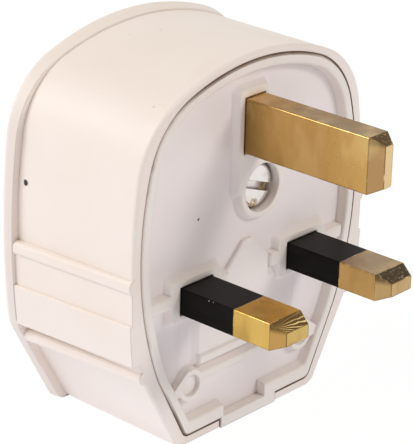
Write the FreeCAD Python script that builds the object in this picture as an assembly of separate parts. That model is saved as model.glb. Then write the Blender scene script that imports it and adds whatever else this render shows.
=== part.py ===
import FreeCAD, Part
import math
import os
from collections import namedtuple

V = FreeCAD.Vector

# Fused three pin plug, in millimetres.
# X is to the right as seen from the pins, Y runs from the pins into the plug, Z is up, earth pin on top.
# The origin lies midway between the line and neutral pins, on the face that meets the socket.

# Pins
pin_spacing = 22.23
earth_width = 4.0
earth_height = 8.0
earth_reach = 22.73
live_width = 6.35
live_height = 4.0
live_reach = 17.7
earth_tip_length = 1.9
earth_tip_inset_x = 1.2
earth_tip_inset_z = 1.0
live_tip_length = 2.2
live_tip_inset_x = 0.95
live_tip_inset_z = 1.0
pin_edge_radius = 0.2
pin_clearance = 0.12
sleeve_reach = 9.1
sleeve_thickness = 0.5

# Base plate outline, set out from the pins
margin_above_earth = 5.2
margin_beside_live = 8.0
margin_below_live = 18.9
plate_widest_z = 8.0
plate_crown_radius = 36.0
plate_shoulder_radius = 12.5
plate_flank_radius = 48.0
plate_knee_z = -10.5
plate_foot_half = 13.2
plate_corner_radius = 1.3
plate_thickness = 4.0
plate_edge_radius = 0.35

# Relief on the face of the base plate
lip_width = 1.5
lip_width_bottom = 2.1
lip_slope = 0.35
lip_edge_radius = 0.3
lip_knee_radius = 3.0
smooth_turn = 5.6
field_depth = 1.5
boss_setback = 0.4
boss_slope = 0.6
boss_edge_radius = 0.22
boss_corner_radius = 0.9
earth_boss_margin_x = 1.0
earth_boss_margin_z = 1.1
live_boss_margin_x = 1.75
live_boss_margin_z = 1.05
screw_boss_margin = 0.8
link_rib_width = 1.75
link_rib_z = 0.35
rib_slope = 0.3
gable_half_width = 4.5
gable_eaves_z = 1.3
gable_peak_z = 4.85
gable_peak_half = 0.95
gable_depth = 0.9
platform_half_width = 9.8
platform_slope = 1.0
cross_rib_zs = (-10.5, -12.9)
cross_rib_width = 1.1
cross_rib_setback = 0.55
ring_outer_radius = 2.4
ring_bore_radius = 1.6
ring_bore_depth = 0.6
ring_rib_lower_drop = 1.1
ring_rib_rise = 2.4
ring_rib_run = 0.85
ring_rib_slant = 0.77
lip_notch_x = -0.95
lip_notch_half_width = 4.35
lip_notch_drop = 1.75

# Cover, set out round the base plate
seam_gap = 0.22
rim_setback = 0.2
rim_side = 1.55
rim_top = 1.2
rim_bottom = 1.5
rim_edge_radius = 0.5
ledge_width = 0.9
cover_draft = 0.5
cavity_draft = 0.7
cover_crown_radius = 38.0
cover_shoulder_radius = 12.5
cover_flank_radius = 75.0
cover_knee_z = -9.7
cover_foot_margin = 1.25
cover_foot_trim = 0.05
cover_corner_radius = 2.0
back_wall = 1.9

# Rear flange
flange_y = 22.8
flange_step_side = 1.25
flange_step_top = 0.25
flange_drop = 0.15
flange_flare = 0.36
flange_widest_z = 5.0
flange_crown_radius = 45.0
flange_shoulder_radius = 12.3
flange_flank_radius = 110.0
flange_knee_z = -7.5
flange_foot_step = 1.0
flange_knee_radius = 7.0
flange_thickness = 2.1
flange_edge_radius = 0.5
back_bow_radius = 600.0
back_lean = 0.01

# Finger grips on the cover's sides
grip_inset = 0.1
grip_edge_radius = 0.25
grip_rib_top_z = 6.1
grip_rib_bottom_z = 4.1
grip_rib_edge_radius = 0.7
grip_pad_inset = 0.55
grip_panel_top_z = -0.5
grip_panel_bottom_z = -6.7
grip_panel_cove = 1.3
grip_bead_radius = 0.95
grip_bead_rise = 0.7
grip_bead_sink = 0.2
grip_drop = 0.9

# Cord outlet
outlet_radius = 4.2
outlet_y = 8.4
tongue_half_width = 5.8
tongue_foot_gap = 0.1

# Screw that holds the cover
screw_x = 2.0
screw_below_earth = 10.03
screw_head_radius = 3.25
screw_head_height = 2.2
screw_head_gap = 0.3
screw_head_sink = 1.0
screw_head_edge_radius = 0.5
screw_shank_radius = 1.75
screw_shank_length = 13.5
screw_shank_gap = 0.1
screw_slot_width = 1.2
screw_slot_depth = 1.0
screw_slot_angle = -20.0
post_height = 3.0
post_wall = 2.6
washer_thickness = 0.7
washer_radius = 3.1
insert_radius = 3.0
insert_length = 9.0
insert_gap = 0.5
cover_post_wall = 1.6

# Terminals
socket_wall = 1.7
socket_height = 3.0
head_depth = 8.5
earth_head_width = 8.0
earth_head_height = 8.6
neutral_head_width = 8.0
neutral_head_height = 8.0
head_edge_radius = 0.4
wire_bore_radius = 1.7
wire_bore_depth = 3.4
clamp_shank_radius = 1.5
clamp_head_radius = 2.5
clamp_head_height = 1.8
clamp_stand_off = 1.0
clamp_bite = 0.8
clamp_slot_width = 0.8
clamp_slot_depth = 0.9
clamp_gap = 0.05

# Fuse and its clips
fuse_radius = 3.175
fuse_length = 25.4
fuse_drop = 3.0
cap_length = 5.6
cap_wall = 0.25
cap_end = 0.35
cap_gap = 0.01
clip_gap = 0.02
clip_thickness = 0.6
clip_length = 5.0
clip_mouth_angle = 100.0
clip_foot_width = 5.0
clip_lip_radius = 0.4
seat_height = 1.0
seat_plate = 1.2
seat_plate_margin = 0.7
pillar_width = 4.6
pillar_length = 5.8
pillar_depth = 8.5
pillar_gap = 0.6

# Cord grip
grip_post_x = 11.75
grip_post_z = -13.6
grip_post_radius = 3.0
grip_post_height = 6.5
grip_bar_half_height = 2.6
grip_bar_thickness = 2.8
grip_bar_ridge_radius = 1.0
grip_bar_ridge_half = 5.0
grip_screw_radius = 1.4
grip_screw_length = 7.0
grip_screw_head_radius = 2.4
grip_screw_head_height = 1.8
grip_screw_gap = 0.05

# Places worked out from the sizes above
earth_z = pin_spacing
line_x = -pin_spacing / 2
neutral_x = pin_spacing / 2
plate_half_width = pin_spacing / 2 + live_width / 2 + margin_beside_live
plate_top = pin_spacing + earth_height / 2 + margin_above_earth
plate_bottom = -live_height / 2 - margin_below_live
cover_bottom = plate_bottom - rim_bottom
socket_top = plate_thickness + socket_height
seat_top = plate_thickness + seat_height
clip_base = seat_top + seat_plate
fuse_y = clip_base + clip_thickness + clip_gap + fuse_radius
fuse_bottom = -fuse_drop
fuse_top = fuse_bottom + fuse_length
post_top = plate_thickness + post_height
screw_z = earth_z - screw_below_earth
screw_head_top = boss_setback + screw_head_sink
screw_seat = screw_head_top + screw_head_height
flange_back = flange_y + flange_thickness
cavity_end = flange_back + back_lean * (plate_bottom - flange_widest_z) - back_wall

# Outlines of the body: a crown, two shoulders, two bowed flanks, two tapering sides and a flat foot
Outline = namedtuple("Outline", "half_width top foot widest crown shoulder flank knee foot_half corner")

plate_outline = Outline(plate_half_width, plate_top, plate_bottom, plate_widest_z, plate_crown_radius,
                        plate_shoulder_radius, plate_flank_radius, plate_knee_z, plate_foot_half,
                        plate_corner_radius)
cover_outline = Outline(plate_half_width + rim_side, plate_top + rim_top, cover_bottom, plate_widest_z,
                        cover_crown_radius, cover_shoulder_radius, cover_flank_radius, cover_knee_z,
                        plate_foot_half + cover_foot_margin, cover_corner_radius)
flange_outline = Outline(cover_outline.half_width - cover_draft + flange_step_side,
                         cover_outline.top - flange_drop, cover_bottom, flange_widest_z,
                         flange_crown_radius, flange_shoulder_radius, flange_flank_radius, flange_knee_z,
                         cover_outline.foot_half + flange_foot_step, cover_corner_radius)


def flank_x(outline, z):
    """Half-width of the bowed flank at height z."""
    return outline.half_width - outline.flank + math.sqrt(outline.flank ** 2 - (z - outline.widest) ** 2)


def inset_outline(outline, inset, foot_inset):
    """The same outline drawn in by inset all round and by foot_inset at the foot."""
    lean = math.atan2(flank_x(outline, outline.knee) - outline.foot_half, outline.knee - outline.foot)
    foot_half = outline.foot_half - inset / math.cos(lean) + foot_inset * math.tan(lean)
    return outline._replace(half_width=outline.half_width - inset, top=outline.top - inset,
                            foot=outline.foot + foot_inset, crown=outline.crown - inset,
                            shoulder=outline.shoulder - inset, flank=outline.flank - inset,
                            foot_half=foot_half, corner=max(outline.corner - inset, outline.corner / 2))


def arc_between(centre, radius, start, end, y):
    """Arc about centre from one point to another, the short way round."""
    a = math.atan2(start[1] - centre[1], start[0] - centre[0])
    b = math.atan2(end[1] - centre[1], end[0] - centre[0])
    turn = (b - a + math.pi) % (2 * math.pi) - math.pi
    mid = (centre[0] + radius * math.cos(a + turn / 2), centre[1] + radius * math.sin(a + turn / 2))
    points = [V(p[0], y, p[1]) for p in (start, mid, end)]
    return Part.Arc(*points).toShape()


def along(centre, toward, distance):
    """Point at a distance from centre in the direction of another point."""
    dx = toward[0] - centre[0]
    dz = toward[1] - centre[1]
    scale = distance / math.hypot(dx, dz)
    return (centre[0] + dx * scale, centre[1] + dz * scale)


def circle_crossing(c1, r1, c2, r2):
    """Crossing point of two circles, the one further to the right."""
    gap = math.dist(c1, c2)
    reach = (r1 ** 2 - r2 ** 2 + gap ** 2) / (2 * gap)
    rise = math.sqrt(r1 ** 2 - reach ** 2)
    ux = (c2[0] - c1[0]) / gap
    uz = (c2[1] - c1[1]) / gap
    options = [(c1[0] + reach * ux - s * rise * uz, c1[1] + reach * uz + s * rise * ux) for s in (1, -1)]
    return max(options)


def outline_wire(outline, y):
    """Closed wire of an outline in the plane at depth y."""
    crown_c = (0.0, outline.top - outline.crown)
    flank_c = (outline.half_width - outline.flank, outline.widest)
    shoulder_c = circle_crossing(crown_c, outline.crown - outline.shoulder,
                                 flank_c, outline.flank - outline.shoulder)
    crown_end = along(crown_c, shoulder_c, outline.crown)
    flank_top = along(flank_c, shoulder_c, outline.flank)
    knee = (flank_x(outline, outline.knee), outline.knee)
    corner = (outline.foot_half, outline.foot)
    turn = math.pi / 2 - math.atan2(knee[0] - corner[0], knee[1] - corner[1])
    tangent = outline.corner * math.tan(turn / 2)
    corner_top = along(corner, knee, tangent)
    corner_foot = (corner[0] - tangent, outline.foot)
    corner_c = (corner_foot[0], outline.foot + outline.corner)

    def mirror(p):
        return (-p[0], p[1])

    def line(p, q):
        return Part.makeLine(V(p[0], y, p[1]), V(q[0], y, q[1]))

    edges = [arc_between(crown_c, outline.crown, mirror(crown_end), crown_end, y),
             arc_between(shoulder_c, outline.shoulder, crown_end, flank_top, y),
             arc_between(flank_c, outline.flank, flank_top, knee, y),
             line(knee, corner_top),
             arc_between(corner_c, outline.corner, corner_top, corner_foot, y),
             line(corner_foot, mirror(corner_foot)),
             arc_between(mirror(corner_c), outline.corner, mirror(corner_foot), mirror(corner_top), y),
             line(mirror(corner_top), mirror(knee)),
             arc_between(mirror(flank_c), outline.flank, mirror(knee), mirror(flank_top), y),
             arc_between(mirror(shoulder_c), outline.shoulder, mirror(flank_top), mirror(crown_end), y)]
    return Part.Wire(edges)


# Simple solids
def polygon(points, y):
    corners = [V(x, y, z) for x, z in points]
    return Part.makePolygon(corners + corners[:1])


def prism(wire, y_end):
    """Wire carried straight along Y to y_end."""
    face = Part.Face(wire)
    return face.extrude(V(0, y_end - wire.BoundBox.YMin, 0))


def drafted(wire, other):
    return Part.makeLoft([wire, other], True, True)


def ease_knees(solid, outline, radius):
    """Rounds the two edges where the flanks meet the tapering sides, unless they already run on smoothly."""
    flank = math.asin((outline.widest - outline.knee) / outline.flank)
    taper = math.atan2(flank_x(outline, outline.knee) - outline.foot_half, outline.knee - outline.foot)
    if abs(taper - flank) < math.radians(smooth_turn):
        return solid
    long = solid.BoundBox.YLength / 2
    knees = edges_where(solid, lambda box: box.YLength > long and abs(box.ZMin - outline.knee) < 1e-3)
    return solid.makeFillet(radius, knees)


def block(x0, x1, y0, y1, z0, z1):
    return Part.makeBox(x1 - x0, y1 - y0, z1 - z0, V(x0, y0, z0))


def rod(x, z, radius, y0, y1):
    return Part.makeCylinder(radius, y1 - y0, V(x, y0, z), V(0, 1, 0))


def cone(x, z, radius0, y0, radius1, y1):
    return Part.makeCone(radius0, radius1, y1 - y0, V(x, y0, z), V(0, 1, 0))


def upright(x, y, radius, z0, z1):
    return Part.makeCylinder(radius, z1 - z0, V(x, y, z0), V(0, 0, 1))


def rectangle(x, z, width, height, y):
    w = width / 2
    h = height / 2
    return polygon([(x - w, z - h), (x + w, z - h), (x + w, z + h), (x - w, z + h)], y)


def tidy(shape):
    return shape.removeSplitter()


def edges_where(shape, test):
    return [e for e in shape.Edges if test(e.BoundBox)]


def lies_at(y):
    """Test for edges that lie in the plane at depth y."""
    return lambda box: abs(box.YMin - y) < 1e-4 and abs(box.YMax - y) < 1e-4


def runs_along_y(box):
    return box.YLength > 1e-3 and box.XLength < 1e-4 and box.ZLength < 1e-4


def drafted_boss(points_x, points_z, slope, y_top, y_foot, corner):
    """Raised rectangular boss with sloping sides and eased edges."""
    x0, x1 = points_x
    z0, z1 = points_z
    foot = polygon([(x0 - slope, z0 - slope), (x1 + slope, z0 - slope),
                    (x1 + slope, z1 + slope), (x0 - slope, z1 + slope)], y_foot)
    top = polygon([(x0, z0), (x1, z0), (x1, z1), (x0, z1)], y_top)
    boss = drafted(top, foot)
    sides = edges_where(boss, lambda box: box.YLength > (y_foot - y_top) / 2)
    if corner:
        boss = boss.makeFillet(corner, sides)
    return boss.makeFillet(boss_edge_radius, edges_where(boss, lies_at(y_top)))


# Pins
def pin_bar(x, z, width, height, reach, tip_length, inset_x, inset_z, y_end):
    """Straight bar with a tip that tapers on all four sides."""
    shoulder = -reach + tip_length
    bar = block(x - width / 2, x + width / 2, shoulder, y_end, z - height / 2, z + height / 2)
    bar = bar.makeFillet(pin_edge_radius, edges_where(bar, runs_along_y))
    tip = drafted(rectangle(x, z, width, height, shoulder),
                  rectangle(x, z, width - 2 * inset_x, height - 2 * inset_z, -reach))
    sides = edges_where(tip, lambda box: box.YLength > tip_length / 2)
    tip = tip.makeFillet(pin_edge_radius, sides)
    return tidy(bar.fuse(tip))


def terminal_head(x, z, width, height, y0):
    """Brass block behind the pin, bored for the wire and for its clamping screw."""
    y1 = y0 + head_depth
    head = block(x - width / 2, x + width / 2, y0, y1, z - height / 2, z + height / 2)
    head = head.makeFillet(head_edge_radius, head.Edges)
    wire_y = y0 + wire_bore_depth
    head = head.cut(upright(x, wire_y, wire_bore_radius, z - height / 2, z + height / 2))
    return head.cut(rod(x, z, clamp_shank_radius + clamp_gap, wire_y, y1))


def slotted_screw(x, z, y_head, head_radius, head_height, shank_radius, tip_y, slot_width, slot_depth,
                  slot_angle, edge_radius):
    """Screw that enters along Y, head at y_head and tip at tip_y, with a slot across the head."""
    inward = 1 if tip_y > y_head else -1
    crown = y_head - inward * head_height
    head = rod(x, z, head_radius, min(y_head, crown), max(y_head, crown))
    head = head.makeFillet(edge_radius, edges_where(head, lies_at(crown)))
    half = 2 * head_radius
    floor = crown + inward * slot_depth
    slot = block(x - half, x + half, min(crown, floor), max(crown, floor),
                 z - slot_width / 2, z + slot_width / 2)
    slot.rotate(V(x, 0, z), V(0, -1, 0), slot_angle)
    shank = rod(x, z, shank_radius, min(y_head, tip_y), max(y_head, tip_y))
    point = edges_where(shank, lies_at(tip_y))
    shank = shank.makeChamfer(shank_radius / 3, point)
    return tidy(head.cut(slot).fuse(shank))


def clamp_screw(x, z, y_face, wire_y):
    """Screw of a terminal, standing a little off its block with its tip in the wire bore."""
    return slotted_screw(x, z, y_face + clamp_stand_off, clamp_head_radius, clamp_head_height,
                         clamp_shank_radius, wire_y + wire_bore_radius - clamp_bite,
                         clamp_slot_width, clamp_slot_depth, 0.0, clamp_slot_width / 4)


def make_earth():
    pin = pin_bar(0, earth_z, earth_width, earth_height, earth_reach, earth_tip_length,
                  earth_tip_inset_x, earth_tip_inset_z, socket_top + head_edge_radius)
    head = terminal_head(0, earth_z, earth_head_width, earth_head_height, socket_top)
    screw = clamp_screw(0, earth_z, socket_top + head_depth, socket_top + wire_bore_depth)
    return tidy(pin.fuse(head)), screw


def sleeve_ring(x):
    """Insulation that fills the neck of a short pin, flush with its sides."""
    outer = block(x - live_width / 2, x + live_width / 2, -sleeve_reach, field_depth,
                  -live_height / 2, live_height / 2)
    outer = outer.makeFillet(pin_edge_radius, edges_where(outer, runs_along_y))
    neck_x = live_width / 2 - sleeve_thickness
    neck_z = live_height / 2 - sleeve_thickness
    neck = block(x - neck_x, x + neck_x, -sleeve_reach, field_depth, -neck_z, neck_z)
    return outer.cut(neck)


def live_bar(x, y_end):
    bar = pin_bar(x, 0, live_width, live_height, live_reach, live_tip_length,
                  live_tip_inset_x, live_tip_inset_z, y_end)
    return bar.cut(sleeve_ring(x))


def make_neutral():
    pin = live_bar(neutral_x, socket_top + head_edge_radius)
    head = terminal_head(neutral_x, 0, neutral_head_width, neutral_head_height, socket_top)
    screw = clamp_screw(neutral_x, 0, socket_top + head_depth, socket_top + wire_bore_depth)
    return tidy(pin.fuse(head)), screw


def make_line():
    """Line pin, headed over behind the base to carry the lower fuse clip."""
    pin = live_bar(line_x, clip_base)
    half_x = live_width / 2 + seat_plate_margin
    half_z = live_height / 2 + seat_plate_margin
    head = block(line_x - half_x, line_x + half_x, seat_top, clip_base, -half_z, half_z)
    head = head.makeFillet(seat_plate_margin, edges_where(head, runs_along_y))
    return tidy(pin.fuse(head))


# Fuse
def fuse_cap(z_end, inward):
    """Metal cup on one end of the fuse."""
    z_mouth = z_end + inward * cap_length
    z_floor = z_end + inward * cap_end
    cup = upright(line_x, fuse_y, fuse_radius, min(z_end, z_mouth), max(z_end, z_mouth))
    rim = [e for e in cup.Edges if abs(e.BoundBox.ZMin - z_end) < 1e-4 and e.BoundBox.ZLength < 1e-4]
    cup = cup.makeFillet(cap_wall, rim)
    hollow = upright(line_x, fuse_y, fuse_radius - cap_wall, min(z_floor, z_mouth), max(z_floor, z_mouth))
    return cup.cut(hollow)


def make_fuse_body():
    radius = fuse_radius - cap_wall - cap_gap
    return upright(line_x, fuse_y, radius, fuse_bottom + cap_end, fuse_top - cap_end)


def fuse_clip(z_middle):
    """Sprung clip: a split ring round the fuse cap with rolled lips and a flat foot."""
    z0 = z_middle - clip_length / 2
    z1 = z_middle + clip_length / 2
    inner = fuse_radius + clip_gap
    outer = inner + clip_thickness
    ring = upright(line_x, fuse_y, outer, z0, z1)
    foot = block(line_x - clip_foot_width / 2, line_x + clip_foot_width / 2, clip_base,
                 clip_base + clip_thickness, z0, z1)
    half = math.radians(clip_mouth_angle / 2)
    far = 3 * outer
    middle = V(line_x, fuse_y, z0)
    spread = far * math.sin(half)
    rise = far * math.cos(half)
    mouth = Part.makePolygon([middle, middle + V(spread, rise, 0), middle + V(-spread, rise, 0), middle])
    ring = ring.cut(Part.Face(mouth).extrude(V(0, 0, clip_length)))
    lip_at = outer + clip_lip_radius / 2
    for side in (-1, 1):
        ring = ring.fuse(upright(line_x + side * lip_at * math.sin(half), fuse_y + lip_at * math.cos(half),
                                 clip_lip_radius, z0, z1))
    ring = ring.fuse(foot).cut(upright(line_x, fuse_y, inner, z0, z1))
    return tidy(ring)


pillar_x = line_x - fuse_radius - pillar_gap - pillar_width / 2
upper_clip_z = fuse_top - cap_length / 2
pillar_z = upper_clip_z - clip_length / 2 - pillar_gap - pillar_length / 2
pillar_back = seat_top + pillar_depth
pillar_wire_y = seat_top + wire_bore_depth


def terminal_plan():
    """Foot of the line terminal: a plate under the upper clip with a leg out to the pillar."""
    left = pillar_x - pillar_width / 2
    right = line_x + clip_foot_width / 2
    low = pillar_z - pillar_length / 2
    step = pillar_z + pillar_length / 2
    high = upper_clip_z + clip_length / 2
    inner = pillar_x + pillar_width / 2
    leg = step - clip_length / 2
    return [(left, low), (inner, low), (inner, leg), (right, leg), (right, high),
            (line_x - clip_foot_width / 2, high), (left, step)]


def make_line_terminal():
    plate = prism(polygon(terminal_plan(), seat_top), clip_base)
    pillar = block(pillar_x - pillar_width / 2, pillar_x + pillar_width / 2, seat_top, pillar_back,
                   pillar_z - pillar_length / 2, pillar_z + pillar_length / 2)
    pillar = pillar.makeFillet(head_edge_radius, edges_where(pillar, lies_at(pillar_back)))
    body = plate.fuse(pillar)
    body = body.cut(upright(pillar_x, pillar_wire_y, wire_bore_radius,
                            pillar_z - pillar_length, pillar_z + pillar_length))
    body = body.cut(rod(pillar_x, pillar_z, clamp_shank_radius + clamp_gap, pillar_wire_y, pillar_back))
    return tidy(body)


# Cover screw, washer and insert
insert_y = post_top + washer_thickness + insert_gap


def make_cover_screw():
    return slotted_screw(screw_x, screw_z, screw_seat, screw_head_radius, screw_head_height,
                         screw_shank_radius, screw_seat + screw_shank_length, screw_slot_width,
                         screw_slot_depth, screw_slot_angle, screw_head_edge_radius)


def make_washer():
    ring = rod(screw_x, screw_z, washer_radius, post_top, post_top + washer_thickness)
    bore = rod(screw_x, screw_z, screw_shank_radius + screw_shank_gap, post_top, post_top + washer_thickness)
    return ring.cut(bore)


def make_insert():
    body = rod(screw_x, screw_z, insert_radius, insert_y, insert_y + insert_length)
    bore = rod(screw_x, screw_z, screw_shank_radius + screw_shank_gap / 2, insert_y, insert_y + insert_length)
    return body.cut(bore)


# Cord grip
grip_post_top = plate_thickness + grip_post_height


def make_grip_bar():
    """Bar with round ends and a ridge that bears on the cord."""
    y1 = grip_post_top + grip_bar_thickness
    bar = block(-grip_post_x, grip_post_x, grip_post_top, y1, grip_post_z - grip_bar_half_height,
                grip_post_z + grip_bar_half_height)
    for side in (-1, 1):
        bar = bar.fuse(rod(side * grip_post_x, grip_post_z, grip_bar_half_height, grip_post_top, y1))
    ridge = Part.makeCylinder(grip_bar_ridge_radius, 2 * grip_bar_ridge_half,
                              V(-grip_bar_ridge_half, grip_post_top, grip_post_z), V(1, 0, 0))
    bar = tidy(bar.fuse(ridge))
    for side in (-1, 1):
        bar = bar.cut(rod(side * grip_post_x, grip_post_z, grip_screw_radius + grip_screw_gap,
                          grip_post_top, y1))
    return bar


def make_grip_screws():
    y_head = grip_post_top + grip_bar_thickness
    screws = []
    for side in (-1, 1):
        screws.append(slotted_screw(side * grip_post_x, grip_post_z, y_head, grip_screw_head_radius,
                                    grip_screw_head_height, grip_screw_radius, y_head - grip_screw_length,
                                    clamp_slot_width, clamp_slot_depth, 0.0, clamp_slot_width / 4))
    return Part.makeCompound(screws)


# Base moulding
def plate_with_field():
    """Plate with a raised lip round a recessed field."""
    plate = prism(outline_wire(plate_outline, 0.0), plate_thickness)
    plate = plate.makeFillet(plate_edge_radius, edges_where(plate, lies_at(0.0)))
    mouth = inset_outline(plate_outline, lip_width, lip_width_bottom)
    floor = inset_outline(plate_outline, lip_width + lip_slope, lip_width_bottom + lip_slope)
    field = drafted(outline_wire(mouth, 0.0), outline_wire(floor, field_depth))
    field = ease_knees(field, mouth, lip_knee_radius)
    plate = plate.cut(field)
    reach = field.BoundBox
    reach.enlarge(1e-3)
    rim = [e for e in edges_where(plate, lies_at(0.0)) if reach.isInside(e.BoundBox)]
    return plate.makeFillet(lip_edge_radius, rim)


def face_relief():
    """Bosses and ribs that stand in the field."""
    pieces = []
    half_x = live_width / 2 + live_boss_margin_x
    half_z = live_height / 2 + live_boss_margin_z
    for x in (line_x, neutral_x):
        pieces.append(drafted_boss((x - half_x, x + half_x), (-half_z, half_z), boss_slope, boss_setback,
                                   field_depth, boss_corner_radius))
    earth_x = earth_width / 2 + earth_boss_margin_x
    earth_high = earth_z + earth_height / 2 + earth_boss_margin_z
    pieces.append(drafted_boss((-earth_x, earth_x), (screw_z, earth_high),
                               boss_slope, boss_setback, field_depth, boss_corner_radius))
    screw_bore = screw_head_radius + screw_head_gap
    screw_boss = cone(screw_x, screw_z, screw_bore + screw_boss_margin, boss_setback,
                      screw_bore + screw_boss_margin + boss_slope, field_depth)
    pieces.append(screw_boss.makeFillet(boss_edge_radius, edges_where(screw_boss, lies_at(boss_setback))))
    rib_low = link_rib_z - link_rib_width / 2
    rib_high = link_rib_z + link_rib_width / 2
    edge = flank_x(plate_outline, link_rib_z) - lip_width
    for side in (-1, 1):
        span = sorted((side * (pin_spacing / 2 + live_width / 2), side * edge))
        pieces.append(drafted_boss(span, (rib_low, rib_high), rib_slope, boss_setback, field_depth, 0))
        span = sorted((side * gable_half_width, side * (pin_spacing / 2 - live_width / 2)))
        pieces.append(drafted_boss(span, (rib_low, rib_high), rib_slope, boss_setback, field_depth, 0))
    pieces.append(gable())
    across = (-platform_half_width, platform_half_width)
    pieces.append(drafted_boss(across, (cross_rib_zs[0], -live_height / 2), platform_slope, gable_depth,
                               field_depth, 0))
    for z in cross_rib_zs:
        span = (z - cross_rib_width / 2, z + cross_rib_width / 2)
        pieces.append(drafted_boss(across, span, boss_slope, cross_rib_setback, field_depth, 0))
    for side in (-1, 1):
        pieces.extend(ring_boss(side))
    return pieces


def gable():
    """Low platform with a gable top between the two short pins."""
    shoulder = gable_half_width
    foot = cross_rib_zs[0]
    peak = gable_peak_half
    plan = [(-shoulder, foot), (shoulder, foot), (shoulder, gable_eaves_z), (peak, gable_peak_z),
            (-peak, gable_peak_z), (-shoulder, gable_eaves_z)]
    slab = prism(polygon(plan, gable_depth), field_depth)
    return slab.makeFillet(boss_edge_radius, edges_where(slab, lies_at(gable_depth)))


def ring_boss(side):
    """Round boss with a blind bore, tied to the lip by a slanting rib."""
    ring = cone(side * grip_post_x, grip_post_z, ring_outer_radius, boss_setback,
                ring_outer_radius + rib_slope, field_depth)
    ring = ring.makeFillet(boss_edge_radius, edges_where(ring, lies_at(boss_setback)))
    low = grip_post_z - ring_rib_lower_drop
    high = grip_post_z + ring_rib_rise
    high_x = grip_post_x + ring_rib_run
    low_x = high_x + (high - low) / ring_rib_slant
    rib = [(grip_post_x, low), (low_x, low), (high_x, high), (grip_post_x, high)]
    rib = prism(polygon([(side * x, z) for x, z in rib], boss_setback), field_depth)
    rib = rib.common(prism(outline_wire(inset_outline(plate_outline, lip_width / 2, lip_width_bottom), 0.0),
                           plate_thickness))
    return [ring, rib]


def socket(x, z, width, height, y_top):
    """Block behind the plate that holds a pin square."""
    return block(x - width / 2 - socket_wall, x + width / 2 + socket_wall, field_depth, y_top,
                 z - height / 2 - socket_wall, z + height / 2 + socket_wall)


def make_base():
    base = plate_with_field()
    inside = [socket(0, earth_z, earth_width, earth_height, socket_top),
              socket(neutral_x, 0, live_width, live_height, socket_top),
              socket(line_x, 0, live_width, live_height, seat_top),
              rod(screw_x, screw_z, screw_shank_radius + screw_shank_gap + post_wall, field_depth, post_top),
              prism(polygon(terminal_plan(), field_depth), seat_top)]
    for side in (-1, 1):
        inside.append(rod(side * grip_post_x, grip_post_z, grip_post_radius, field_depth, grip_post_top))
    tongue_top = plate_bottom + ledge_width
    tongue = block(-tongue_half_width, tongue_half_width, 0.0, outlet_y,
                   cover_bottom + tongue_foot_gap, tongue_top)
    tongue = tongue.cut(upright(0, outlet_y, outlet_radius, cover_bottom, tongue_top))
    base = base.multiFuse(face_relief() + inside + [tongue])
    cuts = []
    notch_top = plate_bottom + lip_width_bottom
    cuts.append(block(lip_notch_x - lip_notch_half_width, lip_notch_x + lip_notch_half_width, 0.0,
                      field_depth, notch_top - lip_notch_drop, notch_top + lip_slope))
    grow = 2 * pin_clearance
    cuts.append(prism(rectangle(0, earth_z, earth_width + grow, earth_height + grow, 0.0), socket_top))
    cuts.append(prism(rectangle(neutral_x, 0, live_width + grow, live_height + grow, 0.0), socket_top))
    cuts.append(prism(rectangle(line_x, 0, live_width + grow, live_height + grow, 0.0), seat_top))
    cuts.append(rod(screw_x, screw_z, screw_head_radius + screw_head_gap, 0.0, screw_seat))
    cuts.append(rod(screw_x, screw_z, screw_shank_radius + screw_shank_gap, screw_seat, post_top))
    tip = grip_post_top + grip_bar_thickness - grip_screw_length
    for side in (-1, 1):
        x = side * grip_post_x
        cuts.append(rod(x, grip_post_z, ring_bore_radius, 0.0, boss_setback + ring_bore_depth))
        cuts.append(rod(x, grip_post_z, grip_screw_radius + grip_screw_gap, tip, grip_post_top))
    return tidy(base.cut(Part.makeCompound(cuts)))


# Cover moulding
def cover_shell():
    """Drafted outer wall, its foot trimmed flat, with the rear flange and a slightly domed back."""
    y0 = rim_setback
    front = cover_outline._replace(foot=cover_bottom - cover_foot_trim)
    shoulder = flange_shoulder_radius - (flange_step_side + flange_step_top) / 2
    rear = inset_outline(front, cover_draft, 0.0)._replace(top=flange_outline.top - flange_step_top,
                                                           crown=flange_crown_radius - flange_step_top,
                                                           shoulder=shoulder)
    wall = drafted(outline_wire(front, y0), outline_wire(rear, flange_y + flange_thickness / 2))
    wall = wall.makeFillet(rim_edge_radius, edges_where(wall, lies_at(y0)))
    wide = 2 * front.half_width
    wall = wall.cut(block(-wide, wide, 0.0, 2 * flange_back, 2 * cover_bottom, cover_bottom))
    return wall.fuse(rear_flange())


def rear_flange():
    """Flange that flares towards a bowed back, which leans forward towards the cord."""
    depth = 2 * flange_thickness
    far = inset_outline(flange_outline, -flange_flare * depth, 0.0)
    flange = drafted(outline_wire(flange_outline, flange_y), outline_wire(far, flange_y + depth))
    flange = ease_knees(flange, flange_outline, flange_knee_radius)
    lean = V(0, back_lean, 1)
    middle = V(0, flange_back - back_bow_radius * lean.Length, flange_outline.widest)
    bow = Part.makeCylinder(back_bow_radius, 4 * plate_top, middle - lean * (2 * plate_top), lean)
    bow.rotate(middle, lean, 180)
    flange = flange.common(bow)
    rear = edges_where(flange, lambda box: box.YMin > flange_y + 1e-3)
    return flange.makeFillet(flange_edge_radius, rear)


def along_grip(wire):
    """Wire at the rim carried back to the flange, falling a little on the way."""
    return Part.Face(wire).extrude(V(0, flange_y - rim_setback, -grip_drop))


def grip_band(outline, z0, z1):
    """Part of an outline between two heights at the rim, on both sides of the cover."""
    far = 2 * outline.half_width
    slab = along_grip(polygon([(-far, z0), (far, z0), (far, z1), (-far, z1)], rim_setback))
    return slab.common(prism(outline_wire(outline, rim_setback), flange_y))


def ease_length(shape, radius):
    return shape.makeFillet(radius, edges_where(shape, lambda box: box.YLength > flange_y / 2))


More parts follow.
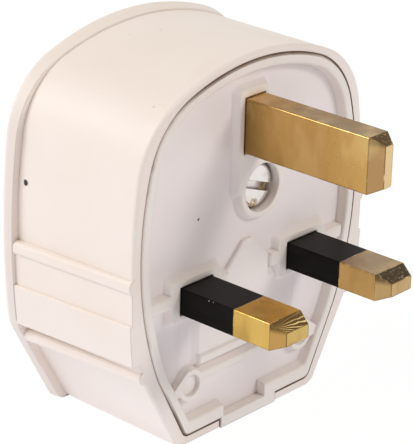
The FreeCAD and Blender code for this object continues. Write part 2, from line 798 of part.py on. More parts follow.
def grips():
    """Rib, pad, panel, cove and bead on each side, running from the rim back to the flange."""
    full = inset_outline(flange_outline, grip_inset, 0.0)
    low = inset_outline(flange_outline, grip_pad_inset, 0.0)
    rib = grip_band(full, grip_rib_bottom_z, grip_rib_top_z)
    pad = grip_band(low, grip_panel_top_z, grip_rib_bottom_z + grip_rib_edge_radius)
    panel = grip_band(full, grip_panel_bottom_z, grip_panel_top_z)
    pieces = [ease_length(rib, grip_rib_edge_radius), pad, ease_length(panel, grip_edge_radius)]
    cove_x = flank_x(flange_outline, grip_panel_bottom_z) - grip_panel_cove
    cove_foot = grip_panel_bottom_z - grip_panel_cove
    bead_x = flank_x(cover_outline, cover_knee_z) - grip_bead_sink
    bead_z = cover_knee_z + grip_bead_rise
    for side in (-1, 1):
        cove = [(0, grip_panel_bottom_z), (side * cove_x, grip_panel_bottom_z),
                (side * (cove_x - grip_panel_cove), cove_foot), (0, cove_foot)]
        pieces.append(along_grip(polygon(cove, rim_setback)))
        bead = Part.makeCircle(grip_bead_radius, V(side * bead_x, rim_setback, bead_z), V(0, 1, 0))
        pieces.append(along_grip(Part.Wire(bead)))
    return pieces


def make_cover():
    cover = cover_shell().multiFuse(grips())
    recess = prism(outline_wire(inset_outline(plate_outline, -seam_gap, -seam_gap), 0.0), plate_thickness)
    mouth = inset_outline(plate_outline, ledge_width, ledge_width)
    floor = inset_outline(plate_outline, ledge_width + cavity_draft, ledge_width)
    cavity = drafted(outline_wire(mouth, plate_thickness), outline_wire(floor, cavity_end))
    slot_half = tongue_half_width + seam_gap
    slot = block(-slot_half, slot_half, 0.0, outlet_y + seam_gap, cover_bottom, plate_bottom + ledge_width)
    outlet = upright(0, outlet_y + seam_gap, outlet_radius, cover_bottom, plate_bottom + ledge_width)
    cover = cover.cut(recess).cut(cavity).cut(slot).cut(outlet)
    post = rod(screw_x, screw_z, insert_radius + cover_post_wall, insert_y, flange_back)
    bore = rod(screw_x, screw_z, insert_radius, insert_y, insert_y + insert_length)
    relief = rod(screw_x, screw_z, screw_shank_radius + screw_shank_gap, insert_y + insert_length,
                 max(screw_seat + screw_shank_length + insert_gap, insert_y + insert_length + insert_gap))
    return tidy(cover.fuse(post).cut(bore).cut(relief))


def make_parts():
    earth_pin, earth_screw = make_earth()
    neutral_pin, neutral_screw = make_neutral()
    return {
        "base_moulding": make_base(),
        "cover_moulding": make_cover(),
        "earth_pin": earth_pin,
        "line_pin": make_line(),
        "neutral_pin": neutral_pin,
        "line_pin_sleeve": sleeve_ring(line_x),
        "neutral_pin_sleeve": sleeve_ring(neutral_x),
        "earth_terminal_screw": earth_screw,
        "neutral_terminal_screw": neutral_screw,
        "line_terminal": make_line_terminal(),
        "line_terminal_screw": clamp_screw(pillar_x, pillar_z, pillar_back, pillar_wire_y),
        "line_pin_fuse_clip": fuse_clip(fuse_bottom + cap_length / 2),
        "line_terminal_fuse_clip": fuse_clip(upper_clip_z),
        "fuse_body": make_fuse_body(),
        "fuse_cap_lower": fuse_cap(fuse_bottom, 1),
        "fuse_cap_upper": fuse_cap(fuse_top, -1),
        "cord_grip_bar": make_grip_bar(),
        "cord_grip_screws": make_grip_screws(),
        "cover_screw": make_cover_screw(),
        "cover_screw_washer": make_washer(),
        "cover_insert": make_insert(),
    }


def main():
    os.makedirs("parts", exist_ok=True)
    for name, shape in make_parts().items():
        print(name, "solids", len(shape.Solids), "valid", shape.isValid(), "volume %.1f" % shape.Volume)
        shape.exportStep(os.path.join("parts", name + ".step"))


main()
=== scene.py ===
import bpy
import math
from mathutils import Matrix, Vector


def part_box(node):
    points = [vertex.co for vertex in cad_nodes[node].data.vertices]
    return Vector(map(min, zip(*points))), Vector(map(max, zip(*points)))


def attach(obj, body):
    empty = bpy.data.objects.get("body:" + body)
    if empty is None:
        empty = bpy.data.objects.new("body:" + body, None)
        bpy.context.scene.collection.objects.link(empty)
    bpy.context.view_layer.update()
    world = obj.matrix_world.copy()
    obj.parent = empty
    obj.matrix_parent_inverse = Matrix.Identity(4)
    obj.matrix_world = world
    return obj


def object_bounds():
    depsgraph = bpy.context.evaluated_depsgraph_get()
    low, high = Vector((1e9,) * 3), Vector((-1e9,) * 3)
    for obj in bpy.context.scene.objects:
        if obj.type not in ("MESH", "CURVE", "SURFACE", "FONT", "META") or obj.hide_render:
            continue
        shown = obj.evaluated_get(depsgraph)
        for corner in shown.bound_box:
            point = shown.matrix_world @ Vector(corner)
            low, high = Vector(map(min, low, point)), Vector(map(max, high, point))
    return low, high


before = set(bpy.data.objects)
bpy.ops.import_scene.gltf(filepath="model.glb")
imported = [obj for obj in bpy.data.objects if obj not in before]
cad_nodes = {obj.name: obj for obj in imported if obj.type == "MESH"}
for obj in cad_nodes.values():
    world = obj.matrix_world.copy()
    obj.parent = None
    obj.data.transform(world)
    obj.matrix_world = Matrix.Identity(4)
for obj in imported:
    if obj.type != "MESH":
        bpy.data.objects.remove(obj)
cad_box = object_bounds()
MM = 0.001

# Sizes of the solids that the looks follow, in millimetres
live_tip = 2.2  # taper at the end of the two short pins
earth_tip = 1.9  # taper at the end of the earth pin
pin_root = 0.4  # depth at which the pins leave the base
sunk_depth, raised_depth = 1.3, 0.5  # depths between which the field gives way to its bosses
wall_start = 0.35  # depth at which the base's outer wall starts, behind its rounded edge
seam_width = 0.22  # gap between base and cover
face_middle = (0.0, 0.0, 5.0)  # the seam runs round this point

# Dirt in the seam, in millimetres
strip_depths = (0.36, 0.9)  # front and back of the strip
strip_clearance = 0.02  # from the strip to the base and to the cover
base_edge_depth = 0.38  # how far back the base's rounded edge is soiled
cover_edge_depth = 1.0
soiled_top = (26.5, 30.5)  # heights over which the dirt grows heavy
soiled_foot = (-12.0, -18.0)
soiled_right = (10.0, 17.0)  # the same from left to right

# Marks on the surface: place and radius, in millimetres
black_fleck = ((-23.13, 21.38, 14.0), 0.7)
face_dot = ((-9.86, 1.5, 10.52), 0.28)
faint_scuffs = (((-0.13, 23.95, 32.42), 0.35), ((-5.7, 18.72, 31.79), 0.3),
                ((-1.97, 16.37, 32.23), 0.3), ((-17.38, 2.97, 28.24), 0.35))
sleeve_flecks = (((-14.29, -4.72, 1.81), 0.16), ((-14.29, -5.5, 1.85), 0.1))
slot_dirt = ((4.4, 2.0, 11.25), 1.35)
head_dirt = ((1.25, 1.5, 9.6), 1.3)

# Tarnish on the pins: distances from the root, in millimetres
reflected_reach, top_colour_reach = 2.0, 11.0  # the upper face takes the side colour up to the first, a painted reflection of the base, and its own darker colour from the second
darkening_reach = 7.0  # the sides darken up to here
darkening_share = 0.58  # of their colour, which is left at the root

# Tips of the pins, in millimetres
flank_shade = (1.5, 0.5)  # distances below the upper edge between which a flank darkens, as painted shade
flank_share = 0.3  # of its colour, which is left at that edge
score_fade = (0.1, 0.7)  # distances below the upper edge between which score lines grow bright
score_lines = 48.0  # in a full turn
fan_inset = 0.2  # from the pin's left side to the point where the lines meet
fan_share = 0.62  # of the tip's length, from its end to that point

# Rays traced from a point of the surface, for grime and painted shade, and for eased edges
shade_and_grime_rays = 8
edge_rays = 6

# Studio, in metres and watts
white = (1.0, 1.0, 1.0)
sky_tint, sky_level = (1.0, 0.95, 0.89), 0.335
floor_reach = 3.0
lamp_tint = (1.0, 0.985, 0.98)
lamp_target = (0.0, 0.01, 0.0)


# Materials
class Look:
    """A material with a principled shader, and short ways to add nodes to it."""

    def __init__(self, name):
        self.material = bpy.data.materials.new(name)
        self.material.use_nodes = True
        self.nodes = self.material.node_tree.nodes
        self.links = self.material.node_tree.links
        self.nodes.clear()
        out = self.nodes.new("ShaderNodeOutputMaterial")
        self.shader = self.nodes.new("ShaderNodeBsdfPrincipled")
        self.links.new(self.shader.outputs["BSDF"], out.inputs["Surface"])
        coords = self.nodes.new("ShaderNodeTexCoord")
        self.place = coords.outputs["Object"]
        self.facing = coords.outputs["Normal"]

    def plug(self, value, socket):
        """Link an output to a socket, or set a number, vector or colour on it."""
        if isinstance(value, bpy.types.NodeSocket):
            self.links.new(value, socket)
        elif socket.type == "RGBA":
            socket.default_value = (*value, 1.0)
        else:
            socket.default_value = value

    def set(self, **inputs):
        """Plug values into the shader, with _ for each blank in the name of its socket."""
        for name, value in inputs.items():
            self.plug(value, self.shader.inputs[name.replace("_", " ")])

    def operation(self, node_type, kind, first, second):
        """Outputs of a node that works on two inputs."""
        node = self.nodes.new(node_type)
        node.operation = kind
        self.plug(first, node.inputs[0])
        self.plug(second, node.inputs[1])
        return node.outputs

    def math(self, kind, first, second=0.0):
        return self.operation("ShaderNodeMath", kind, first, second)["Value"]

    def vector(self, kind, first, second=(0, 0, 0)):
        return self.operation("ShaderNodeVectorMath", kind, first, second)["Vector"]

    def measure(self, kind, first, second):
        """A number from two vectors: their dot product or distance."""
        return self.operation("ShaderNodeVectorMath", kind, first, second)["Value"]

    def ramp(self, value, low, high, start=0.0, end=1.0):
        """Value taken from low to high onto start to end, clamped and eased."""
        node = self.nodes.new("ShaderNodeMapRange")
        node.interpolation_type = "SMOOTHSTEP"
        for name, number in (("From Min", low), ("From Max", high), ("To Min", start), ("To Max", end)):
            node.inputs[name].default_value = number
        self.links.new(value, node.inputs["Value"])
        return node.outputs["Result"]

    def axis(self, name, vector=None):
        """One coordinate of a vector, or of the place on the surface in metres."""
        node = self.nodes.new("ShaderNodeSeparateXYZ")
        self.links.new(self.place if vector is None else vector, node.inputs[0])
        return node.outputs[name]

    def between(self, axis, low_mm, high_mm, end=1.0):
        """Nought at one coordinate in millimetres, rising to the end value at another."""
        return self.ramp(self.axis(axis), low_mm * MM, high_mm * MM, 0.0, end)

    def noise(self, size_mm, detail=3.0, roughness=0.55, squeeze=None):
        """Noise with features of about this size, longer along an axis with a squeeze below one."""
        node = self.nodes.new("ShaderNodeTexNoise")
        node.inputs["Scale"].default_value = 1.0 / (size_mm * MM)
        node.inputs["Detail"].default_value = detail
        node.inputs["Roughness"].default_value = roughness
        where = self.vector("MULTIPLY", self.place, squeeze) if squeeze else self.place
        self.links.new(where, node.inputs["Vector"])
        return node.outputs["Fac"]

    def mix(self, amount, first, second):
        """The first colour where the amount is nought, the second where it is one."""
        node = self.nodes.new("ShaderNodeMix")
        node.data_type = "RGBA"
        self.plug(amount, node.inputs["Factor"])
        self.plug(first, node.inputs["A"])
        self.plug(second, node.inputs["B"])
        return node.outputs["Result"]

    def stain(self, colour, pattern, low, high, amount, tint):
        """A tint laid over a colour, up to an amount, as a pattern goes from low to high."""
        return self.mix(self.ramp(pattern, low, high, 0.0, amount), colour, tint)

    def spot(self, mark, ragged):
        """One inside a small mark on the surface, nought outside it."""
        point, radius_mm = mark
        radius = radius_mm * MM
        edge = self.math("MULTIPLY", self.noise(radius_mm, detail=2.0), ragged * radius)
        distance = self.measure("DISTANCE", self.place, [c * MM for c in point])
        return self.ramp(self.math("ADD", distance, edge), radius * 0.8, radius * 1.2, 1.0, 0.0)

    def along(self, direction):
        """How far the surface faces a direction of length one, from -1 to 1."""
        return self.measure("DOT_PRODUCT", self.facing, direction)

    def outward(self):
        """How far the surface faces away from the middle of the face, from -1 to 1."""
        away = self.vector("SUBTRACT", self.place, [c * MM for c in face_middle])
        level = self.vector("MULTIPLY", away, (1, 0, 1))
        return self.measure("DOT_PRODUCT", self.facing, self.vector("NORMALIZE", level))

    def openness(self, reach_mm):
        """One where the surface lies open, less where other surfaces stand within reach."""
        node = self.nodes.new("ShaderNodeAmbientOcclusion")
        node.samples = shade_and_grime_rays
        node.inputs["Distance"].default_value = reach_mm * MM
        return node.outputs["AO"]

    def eased_normal(self, radius_mm):
        """Normal that runs round edges as if they had this radius."""
        node = self.nodes.new("ShaderNodeBevel")
        node.samples = edge_rays
        node.inputs["Radius"].default_value = radius_mm * MM
        return node.outputs["Normal"]

    def edges(self, radius_mm, low, high):
        """One along edges and corners, nought on open faces."""
        flat = self.nodes.new("ShaderNodeNewGeometry").outputs["Normal"]
        return self.ramp(self.measure("DOT_PRODUCT", flat, self.eased_normal(radius_mm)), high, low)

    def bump(self, *layers, normal=None):
        """Bump from pairs of height socket and depth in millimetres, over a given normal."""
        for height, depth_mm in layers:
            node = self.nodes.new("ShaderNodeBump")
            node.inputs["Strength"].default_value = 1.0
            node.inputs["Distance"].default_value = depth_mm * MM
            self.links.new(height, node.inputs["Height"])
            if normal is not None:
                self.links.new(normal, node.inputs["Normal"])
            normal = node.outputs["Normal"]
        self.links.new(normal, self.shader.inputs["Normal"])


def dress(look, *names):
    """Give CAD nodes a material in place of their own."""
    for name in names:
        slots = cad_nodes[name].data.materials
        slots.clear()
        slots.append(look.material)


def shade(colour, amount):
    return [amount * c for c in colour]


# Mouldings
def seam_load(look):
    """How heavily the seam is soiled: most along the top, down the right side and at the foot."""
    top = look.between("Z", *soiled_top)
    foot = look.between("Z", *soiled_foot)
    right = look.between("X", *soiled_right, end=0.9)
    most = look.math("MAXIMUM", look.math("MAXIMUM", top, foot), right)
    stray = look.ramp(look.noise(5), 0.45, 0.75, 0.0, 0.35)
    return look.math("ADD", look.math("MULTIPLY", most, 0.8), stray)


def soil_and_shade(look, colour, load, corner):
    """Grime and painted shade where other surfaces stand close: brown in narrow gaps, by how much they are
    soiled, and a thin darker film in the corners of the relief.
    """
    tan, brown = (0.70, 0.57, 0.47), (0.12, 0.06, 0.024)
    open_sky = look.openness(0.8)
    patchy = look.ramp(look.noise(6), 0.3, 0.65, 0.45, 1.0)
    # Painted shade with a little dirt: a thin film of the corner colour where other surfaces stand close
    shade_and_grime_film = look.math("MULTIPLY", look.ramp(open_sky, 0.7, 0.3, 0.0, 0.4), patchy)
    colour = look.mix(shade_and_grime_film, colour, corner)
    # Dirt with painted shade: narrow gaps take tan to brown by how much they are soiled
    return look.mix(look.ramp(open_sky, 0.34, 0.12), colour, look.mix(load, tan, brown))


def edge_dirt(look, turn, load, depth_mm):
    """Dirt on the rounded edges of the seam, down to a depth."""
    front = look.between("Y", depth_mm, 0.9 * depth_mm)
    edge = look.math("MULTIPLY", look.ramp(turn, 0.05, 0.5), front)
    return look.math("MINIMUM", look.math("MULTIPLY", edge, load), 0.85)


def cover_material():
    cream, deep_cream = (0.905, 0.81, 0.735), (0.885, 0.785, 0.70)
    rub_and_glint, speck, scuff = (0.62, 0.56, 0.50), (0.40, 0.33, 0.27), (0.45, 0.38, 0.32)
    corner, brown, black = (0.78, 0.69, 0.61), (0.20, 0.12, 0.065), (0.02, 0.018, 0.016)
    look = Look("cream_thermoset")
    cloud = look.noise(14)
    colour = look.mix(look.ramp(cloud, 0.35, 0.7), cream, deep_cream)
    rubbing = look.noise(6, detail=5.0, roughness=0.7, squeeze=(0.25, 1.0, 1.0))
    colour = look.stain(colour, rubbing, 0.70, 0.82, 0.2, rub_and_glint)
    specks = look.noise(0.9, detail=2.0, roughness=0.5)
    colour = look.stain(colour, specks, 0.80, 0.84, 0.4, speck)
    for mark in faint_scuffs:
        colour = look.mix(look.math("MULTIPLY", look.spot(mark, 0.8), 0.4), colour, scuff)
    load = seam_load(look)
    # Dirt and painted shade in the seam's gap and in the corners
    colour = soil_and_shade(look, colour, load, corner)
    inward = look.math("MULTIPLY", look.outward(), -1.0)
    colour = look.mix(edge_dirt(look, inward, load, cover_edge_depth), colour, brown)
    colour = look.mix(look.spot(black_fleck, 0.8), colour, black)
    look.set(Base_Color=colour, Roughness=look.ramp(cloud, 0.2, 0.8, 0.36, 0.46), IOR=1.5)
    grain = look.noise(0.35, detail=2.0)
    look.bump((cloud, 0.02), (grain, 0.004), normal=look.eased_normal(0.25))
    return look


def base_material():
    sunk, raised, clouded = (0.87, 0.795, 0.77), (0.88, 0.805, 0.735), (0.80, 0.71, 0.64)
    streaked, corner = (0.60, 0.55, 0.52), (0.55, 0.45, 0.34)
    brown, dark = (0.19, 0.10, 0.045), (0.08, 0.07, 0.06)
    look = Look("white_thermoset")
    cloud = look.noise(9)
    # Painted light and shade: the sunk field is a pinker cream and the raised parts a yellower cream, on
    # one white moulding
    colour = look.mix(look.between("Y", sunk_depth, raised_depth), sunk, raised)
    colour = look.stain(colour, cloud, 0.35, 0.7, 0.25, clouded)
    streak = look.noise(2.2, detail=4.0, roughness=0.6, squeeze=(1.0, 1.0, 0.12))
    colour = look.stain(colour, streak, 0.60, 0.78, 0.16, streaked)
    load = seam_load(look)
    # Dirt and painted shade in the seam's gap and in the relief's corners
    colour = soil_and_shade(look, colour, load, corner)
    colour = look.mix(edge_dirt(look, look.outward(), load, base_edge_depth), colour, brown)
    colour = look.mix(look.spot(face_dot, 0.6), colour, dark)
    look.set(Base_Color=colour, Roughness=look.ramp(streak, 0.3, 0.8, 0.34, 0.5), IOR=1.5)
    grain = look.noise(0.3, detail=2.0)
    look.bump((streak, 0.006), (grain, 0.003), normal=look.eased_normal(0.45))
    return look


# Brass
def tip_top(node, tip_length):
    """Height of the upper edge where a pin's tip starts to taper."""
    tolerance = 0.01
    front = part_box(node)[0][1] + (tip_length + tolerance) * MM
    return max(v.co.z for v in cad_nodes[node].data.vertices if v.co.y < front)


def below(look, high, distances, start=0.0):
    """The start value at one distance below a height, rising to one at another."""
    near, far = (high - distance * MM for distance in distances)
    return look.ramp(look.axis("Z"), near, far, start, 1.0)


def darker_root_sides(look, side):
    """Sides of a pin, darker towards its root."""
    near_root = look.between("Y", pin_root - darkening_reach, pin_root)
    return look.mix(near_root, side, shade(side, darkening_share))


def top_with_painted_reflection(look, side, top):
    """Upper face of a pin, with the side colour at its root as a painted reflection of the base, and
    darker with blotches beyond.
    """
    beyond = look.between("Y", pin_root - reflected_reach, pin_root - top_colour_reach)
    blotch = look.ramp(look.noise(4), 0.35, 0.65, -0.25, 0.1)
    return look.mix(look.math("ADD", beyond, blotch), side, top)


def painted_edge_light(look):
    """Painted edge light: dark lines along edges and corners, with painted glints along them."""
    rub_and_glint = look.ramp(look.noise(1.6), 0.52, 0.66)
    return look.mix(rub_and_glint, (0.15, 0.085, 0.028), (0.80, 0.60, 0.30))


def brass_material(name, node, tip_length, side, top, flank, end, facet):
    """Tarnished brass, with colours for a pin's faces and for the flanks, end and facet of its tip, given
    by the way each faces as painted reflection and shade.
    """
    brown, dark_fleck, bright = (0.24, 0.13, 0.045), (0.18, 0.10, 0.035), (0.85, 0.63, 0.28)
    look = Look(name)
    blend = 0.03 * MM
    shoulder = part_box(node)[0][1] + tip_length * MM
    tip = look.ramp(look.axis("Y"), shoulder + blend, shoulder - blend)
    upward = look.ramp(look.along((0, 0, 1)), 0.72, 0.86)
    forward = look.ramp(look.along((0, -1, 0)), 0.7, 0.85)
    sideways = look.math("SUBTRACT", 1.0, look.math("MAXIMUM", upward, forward))
    patch = look.noise(4.5, roughness=0.5, squeeze=(1.0, 1.0, 0.5))
    fine = look.noise(0.7, detail=4.0, roughness=0.6)
    drawn = look.noise(0.5, detail=4.0, roughness=0.6, squeeze=(1.0, 0.08, 1.0))
    # Painted reflection and shade: sides, upper face, tip flanks, end and facet each take a colour by the
    # way they face
    colour = look.mix(upward, darker_root_sides(look, side), top_with_painted_reflection(look, side, top))
    # Painted shade: the flanks darken towards their upper edge
    near_edge = below(look, tip_top(node, tip_length), flank_shade)
    shaded = look.mix(near_edge, flank, shade(flank, flank_share))
    colour = look.mix(look.math("MULTIPLY", tip, sideways), colour, shaded)
    colour = look.mix(forward, colour, end)
    colour = look.stain(colour, patch, 0.50, 0.72, 0.35, brown)
    colour = look.stain(colour, fine, 0.62, 0.78, 0.12, dark_fleck)
    colour = look.stain(colour, patch, 0.46, 0.28, 0.28, bright)
    colour = look.mix(look.math("MULTIPLY", tip, upward), colour, facet(look))
    # Painted edge light: dark edge lines with painted glints
    colour = look.mix(look.edges(0.26, 0.972, 0.996), colour, painted_edge_light(look))
    look.set(Base_Color=colour, Metallic=1.0, Roughness=look.ramp(patch, 0.3, 0.75, 0.22, 0.40))
    look.bump((drawn, 0.0012), (fine, 0.001), normal=look.eased_normal(0.09))
    return look


def plain_facet(dark, light):
    """Paint for the facet of a tip that is dark, as a painted reflection, with small light specks."""
    def paint(look):
        return look.mix(look.ramp(look.noise(0.35, roughness=0.6), 0.52, 0.80), dark, light)
    return paint


def scored_facet(node, tip_length, dark, light):
    """Paint for the facet of a tip that is dark, as a painted reflection, with bright score lines that fan
    out from its left end.
    """
    def paint(look):
        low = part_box(node)[0]
        centre = (low[0] + fan_inset * MM, low[1] + fan_share * tip_length * MM, 0.0)
        spread = look.vector("SUBTRACT", look.place, centre)
        slant = look.math("ARCTAN2", look.axis("Y", spread), look.axis("X", spread))
        wander = look.math("MULTIPLY", look.noise(1.1, detail=2.0), 0.10)
        wave = look.math("SINE", look.math("MULTIPLY", look.math("ADD", slant, wander), score_lines))
        fade = below(look, tip_top(node, tip_length), score_fade, start=0.15)
        return look.mix(look.math("MULTIPLY", look.ramp(wave, 0.25, 1.0), fade), dark, light)
    return paint


def earth_brass():
    return brass_material("earth_brass", "earth_pin", earth_tip,
                          side=(0.59, 0.36, 0.117), top=(0.25, 0.152, 0.058),
                          flank=(0.44, 0.265, 0.115), end=(0.74, 0.54, 0.28),
                          facet=plain_facet((0.10, 0.06, 0.025), (0.46, 0.30, 0.12)))


def line_brass():
    facet = scored_facet("line_pin", live_tip, (0.13, 0.07, 0.018), (0.86, 0.66, 0.27))
    return brass_material("line_brass", "line_pin", live_tip,
                          side=(0.68, 0.44, 0.115), top=(0.50, 0.25, 0.014),
                          flank=(0.52, 0.31, 0.10), end=(0.62, 0.42, 0.14), facet=facet)


def neutral_brass():
    return brass_material("neutral_brass", "neutral_pin", live_tip,
                          side=(0.66, 0.425, 0.15), top=(0.305, 0.20, 0.105),
                          flank=(0.48, 0.31, 0.14), end=(0.55, 0.37, 0.17),
                          facet=plain_facet((0.06, 0.04, 0.02), (0.50, 0.38, 0.22)))


def inner_brass():
    bright, dull = (0.50, 0.32, 0.12), (0.45, 0.28, 0.10)
    # The bright sides and dull tops are painted reflection, as on the pins
    return brass_material("inner_brass", "line_terminal", 0.0, side=bright, top=dull, flank=dull,
                          end=(0.48, 0.30, 0.11), facet=plain_facet(dull, bright))


# Other metals
def steel_material(name, soiled=False):
    """Worn plate, with painted shade on faces that point up or down, such as the slot's walls, and in
    corners, and with dirt in the slot's end and along the lower edge of a soiled screw.
    """
    plate, worn_plate, wall = (0.80, 0.755, 0.73), (0.55, 0.47, 0.38), (0.10, 0.075, 0.055)
    corner, dry_dirt = (0.22, 0.14, 0.075), (0.42, 0.29, 0.13)
    look = Look(name)
    wear = look.noise(1.6, roughness=0.5)
    colour = look.stain(plate, wear, 0.5, 0.8, 0.3, worn_plate)
    # Painted shade: faces that point up or down, such as the slot's walls, are darkened
    shaded_walls = look.ramp(look.math("ABSOLUTE", look.along((0, 0, 1))), 0.6, 0.9)
    colour = look.mix(look.math("MULTIPLY", shaded_walls, 0.85), colour, wall)
    # Painted shade: corners where other surfaces stand close are darkened
    colour = look.mix(look.ramp(look.openness(0.6), 0.75, 0.3), colour, corner)
    metal = 1.0
    rough = look.ramp(wear, 0.3, 0.7, 0.16, 0.26)
    if soiled:
        grains = look.ramp(look.noise(0.5), 0.32, 0.48)
        patches = look.math("MAXIMUM", look.spot(slot_dirt, 0.8), look.spot(head_dirt, 0.8))
        dirt = look.math("MULTIPLY", patches, grains)
        colour = look.mix(dirt, colour, dry_dirt)
        metal = look.math("SUBTRACT", 1.0, dirt)
        rough = look.math("ADD", rough, look.math("MULTIPLY", dirt, 0.4))
    look.set(Base_Color=colour, Metallic=metal, Roughness=rough)
    look.bump((wear, 0.002), normal=look.eased_normal(0.12))
    return look


def bronze_material():
    bright, dull = (0.66, 0.42, 0.22), (0.44, 0.26, 0.13)
    look = Look("sprung_bronze")
    rolled = look.noise(0.8, detail=4.0, roughness=0.6, squeeze=(1.0, 1.0, 0.15))
    colour = look.mix(look.ramp(rolled, 0.35, 0.7), bright, dull)
    look.set(Base_Color=colour, Metallic=1.0, Roughness=look.ramp(rolled, 0.3, 0.7, 0.22, 0.4))
    look.bump((rolled, 0.006))
    return look


def cap_material():
    bright, dull = (0.74, 0.72, 0.69), (0.52, 0.50, 0.46)
    look = Look("fuse_cap_plate")
    rolled = look.noise(0.7, detail=4.0, roughness=0.6)
    colour = look.mix(look.ramp(rolled, 0.35, 0.75), bright, dull)
    look.set(Base_Color=colour, Metallic=1.0, Roughness=look.ramp(rolled, 0.3, 0.7, 0.14, 0.3))
    look.bump((rolled, 0.004))
    return look


# Sleeves, fuse, fibre and dirt
def sleeve_material():
    black, rub_and_glint, pale = (0.006, 0.0055, 0.005), (0.010, 0.009, 0.0085), (0.45, 0.42, 0.36)
    look = Look("black_sleeve")
    satin = look.noise(1.2, detail=4.0, roughness=0.6, squeeze=(1.0, 0.2, 1.0))
    colour = look.mix(look.ramp(satin, 0.35, 0.75), black, rub_and_glint)
    for mark in sleeve_flecks:
        colour = look.mix(look.math("MULTIPLY", look.spot(mark, 0.5), 0.7), colour, pale)
    look.set(Base_Color=colour, Roughness=look.ramp(satin, 0.3, 0.75, 0.30, 0.36), Specular_IOR_Level=0.06)
    look.bump((satin, 0.0012), normal=look.eased_normal(0.12))
    return look


def ceramic_material():
    pale, shaded = (0.80, 0.77, 0.70), (0.72, 0.68, 0.60)
    look = Look("fuse_glaze")
    glaze = look.noise(2.0, detail=4.0)
    colour = look.mix(look.ramp(glaze, 0.35, 0.7), pale, shaded)
    look.set(Base_Color=colour, Roughness=look.ramp(glaze, 0.3, 0.7, 0.18, 0.3), IOR=1.5)
    look.bump((glaze, 0.01))
    return look


def fibre_material():
    red_brown, dark_brown = (0.32, 0.10, 0.06), (0.20, 0.06, 0.04)
    look = Look("pressed_fibre")
    fibre = look.noise(0.8, detail=6.0, roughness=0.7, squeeze=(0.3, 1.0, 1.0))
    colour = look.mix(look.ramp(fibre, 0.3, 0.75), red_brown, dark_brown)
    look.set(Base_Color=colour, Roughness=look.ramp(fibre, 0.3, 0.7, 0.55, 0.75), IOR=1.45)
    look.bump((fibre, 0.02))
    return look


def dirt_material():
    tan, brown, dark_grain = (0.66, 0.53, 0.43), (0.11, 0.055, 0.022), (0.16, 0.10, 0.06)
    look = Look("packed_dirt")
    grain = look.noise(0.5, detail=4.0, roughness=0.7)
    colour = look.mix(seam_load(look), tan, brown)
    colour = look.stain(colour, grain, 0.45, 0.8, 0.3, dark_grain)
    look.set(Base_Color=colour, Roughness=look.ramp(grain, 0.3, 0.7, 0.8, 0.95), IOR=1.4)
    look.bump((grain, 0.02))
    return look


def dress_all():
    dress(cover_material(), "cover_moulding")
    dress(base_material(), "base_moulding")
    dress(earth_brass(), "earth_pin")
    dress(line_brass(), "line_pin")
    dress(neutral_brass(), "neutral_pin")
    dress(inner_brass(), "line_terminal", "cover_insert")
    dress(steel_material("soiled_plate", soiled=True), "cover_screw")
    dress(steel_material("nickel_plate"), "earth_terminal_screw", "neutral_terminal_screw",
          "line_terminal_screw", "cord_grip_screws")
    dress(bronze_material(), "line_pin_fuse_clip", "line_terminal_fuse_clip")
    dress(cap_material(), "fuse_cap_lower", "fuse_cap_upper")
    dress(ceramic_material(), "fuse_body")
    dress(sleeve_material(), "line_pin_sleeve", "neutral_pin_sleeve")
    dress(fibre_material(), "cord_grip_bar", "cover_screw_washer")


# Strip of dirt packed in the seam
def seam_path():
    """Points along the base's outer wall, in order, from one side of the cord outlet to the other."""
    mesh = cad_nodes["base_moulding"].data
    same_depth = 0.004 * MM
    neighbours = {}
    for edge in mesh.edges:
        ends = [mesh.vertices[i].co for i in edge.vertices]
        if all(abs(end.y - wall_start * MM) < same_depth for end in ends):
            first, second = ((round(end.x, 6), round(end.z, 6)) for end in ends)
            if first != second:
                neighbours.setdefault(first, []).append(second)
                neighbours.setdefault(second, []).append(first)
    here = min(point for point in neighbours if len(set(neighbours[point])) == 1)
    path = [here]
    while True:
        ahead = [point for point in neighbours[here] if point not in path]
        if not ahead:
            return [Vector(point) for point in path]
        here = ahead[0]
        path.append(here)


def outward_normals(path):
    """Mitred normals of an open path, away from the middle of the face."""
    steps = [(after - before).normalized() for before, after in zip(path, path[1:])]
    normals = []
    for before, after in zip(steps[:1] + steps, steps + steps[-1:]):
        along = (before + after).normalized()
        normals.append(Vector((along.y, -along.x)) / max(along.dot(after), 0.5))
    centre = Vector((face_middle[0], face_middle[2])) * MM
    halfway = len(path) // 2
    if normals[halfway].dot(path[halfway] - centre) < 0:
        normals = [-normal for normal in normals]
    return normals


def make_seam_dirt():
    """A closed strip along the seam, with an inner and an outer corner at its front and at its back."""
    path = seam_path()
    corners = []
    for point, normal in zip(path, outward_normals(path)):
        inner = point + normal * strip_clearance * MM
        outer = point + normal * (seam_width - strip_clearance) * MM
        for depth in strip_depths:
            corners += [(inner.x, depth * MM, inner.y), (outer.x, depth * MM, outer.y)]
    around = (0, 1, 3, 2)
    sides = list(zip(around, around[1:] + around[:1]))
    starts = range(0, len(corners), len(around))
    faces = []
    for near, far in zip(starts, starts[1:]):
        faces += [(near + a, far + a, far + b, near + b) for a, b in sides]
    faces += [around, [starts[-1] + a for a in reversed(around)]]
    mesh = bpy.data.meshes.new("seam_dirt")
    mesh.from_pydata(corners, [], faces)
    mesh.materials.append(dirt_material().material)
    piece = bpy.data.objects.new("seam_dirt", mesh)
    bpy.context.scene.collection.objects.link(piece)
    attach(piece, "root")


# Studio
def seen_directly(tree):
    """One for camera, glossy and transmission rays, nought for the light that falls on the object."""
    path = tree.nodes.new("ShaderNodeLightPath")
    total = path.outputs["Is Camera Ray"]
    for name in ("Is Glossy Ray", "Is Transmission Ray"):
        node = tree.nodes.new("ShaderNodeMath")
        node.operation = "MAXIMUM"
        tree.links.new(total, node.inputs[0])
        tree.links.new(path.outputs[name], node.inputs[1])
        total = node.outputs["Value"]
    return total


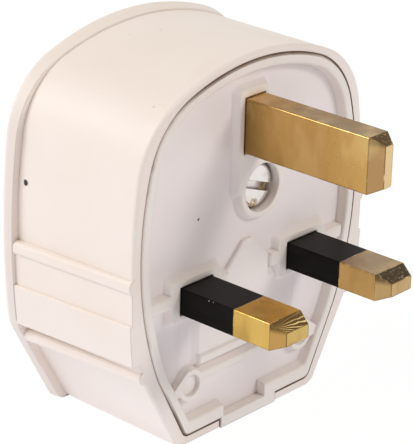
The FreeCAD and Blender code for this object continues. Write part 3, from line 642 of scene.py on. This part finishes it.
def make_world():
    """Soft light from all round, behind a background that is seen as white."""
    world = bpy.data.worlds.new("studio")
    bpy.context.scene.world = world
    world.use_nodes = True
    tree = world.node_tree
    tree.nodes.clear()
    out = tree.nodes.new("ShaderNodeOutputWorld")
    mix = tree.nodes.new("ShaderNodeMixShader")
    tree.links.new(seen_directly(tree), mix.inputs[0])
    for socket, tint, level in ((mix.inputs[1], sky_tint, sky_level), (mix.inputs[2], white, 1.0)):
        sky = tree.nodes.new("ShaderNodeBackground")
        sky.inputs["Color"].default_value = (*tint, 1.0)
        sky.inputs["Strength"].default_value = level
        tree.links.new(sky.outputs[0], socket)
    tree.links.new(mix.outputs[0], out.inputs["Surface"])


def floor_material():
    """Pale floor that bounces light to the object, and is seen as near white with the object's shadow."""
    bounce, bounce_glow, bounce_tint = (0.78, 0.80, 0.86), 0.32, (0.93, 0.97, 1.15)
    seen, seen_glow = (0.08, 0.08, 0.08), 0.95
    material = bpy.data.materials.new("pale_floor")
    material.use_nodes = True
    tree = material.node_tree
    tree.nodes.clear()
    out = tree.nodes.new("ShaderNodeOutputMaterial")
    mix = tree.nodes.new("ShaderNodeMixShader")
    tree.links.new(seen_directly(tree), mix.inputs[0])
    for socket, matt, glow, tint in ((mix.inputs[1], bounce, bounce_glow, bounce_tint),
                                     (mix.inputs[2], seen, seen_glow, white)):
        diffuse = tree.nodes.new("ShaderNodeBsdfDiffuse")
        diffuse.inputs["Color"].default_value = (*matt, 1.0)
        emission = tree.nodes.new("ShaderNodeEmission")
        emission.inputs["Color"].default_value = (*tint, 1.0)
        emission.inputs["Strength"].default_value = glow
        both = tree.nodes.new("ShaderNodeAddShader")
        tree.links.new(diffuse.outputs[0], both.inputs[0])
        tree.links.new(emission.outputs[0], both.inputs[1])
        tree.links.new(both.outputs[0], socket)
    tree.links.new(mix.outputs[0], out.inputs["Surface"])
    return material


def make_floor(height):
    low, high = -floor_reach, floor_reach
    corners = [(low, low, height), (high, low, height), (high, high, height), (low, high, height)]
    mesh = bpy.data.meshes.new("studio_floor")
    mesh.from_pydata(corners, [], [(0, 1, 2, 3)])
    mesh.materials.append(floor_material())
    floor = bpy.data.objects.new("studio_floor", mesh)
    bpy.context.scene.collection.objects.link(floor)


def make_lamp(name, place, width, power):
    """A square softbox that faces the object."""
    data = bpy.data.lights.new(name, "AREA")
    data.shape = "SQUARE"
    data.size = width
    data.energy = power
    data.color = lamp_tint
    lamp = bpy.data.objects.new(name, data)
    bpy.context.scene.collection.objects.link(lamp)
    lamp.location = place
    lamp.rotation_euler = (Vector(lamp_target) - Vector(place)).to_track_quat("-Z", "Y").to_euler()


def make_camera():
    """The camera that was fitted to the pins in the photograph."""
    place = Vector((-0.22199, -0.19015, 0.12946))
    azimuth, elevation, roll = (math.radians(degrees) for degrees in (-48.124, 22.648, 1.305))
    focal_px = 2281.461
    image_height_px = 444
    back = Vector((math.sin(azimuth) * math.cos(elevation), -math.cos(azimuth) * math.cos(elevation),
                   math.sin(elevation)))
    level = Vector((math.cos(azimuth), math.sin(azimuth), 0))
    upright = back.cross(level)
    right = level * math.cos(roll) + upright * math.sin(roll)
    up = upright * math.cos(roll) - level * math.sin(roll)
    data = bpy.data.cameras.new("view")
    data.sensor_fit = "VERTICAL"
    data.sensor_height = 36.0
    data.lens = focal_px * data.sensor_height / image_height_px
    data.clip_start = 0.01
    data.clip_end = 20.0
    camera = bpy.data.objects.new("view", data)
    bpy.context.scene.collection.objects.link(camera)
    camera.matrix_world = Matrix.Translation(place) @ Matrix((right, up, back)).transposed().to_4x4()
    bpy.context.scene.camera = camera


dress_all()
make_seam_dirt()
make_world()
make_floor(cad_box[0][2])
make_lamp("key_softbox", place=(-0.50, 0.32, 0.54), width=0.5, power=3.93)
make_lamp("front_softbox", place=(0.31, -0.61, 0.47), width=0.26, power=2.15)
make_camera()
bpy.context.scene.view_settings.view_transform = "Standard"
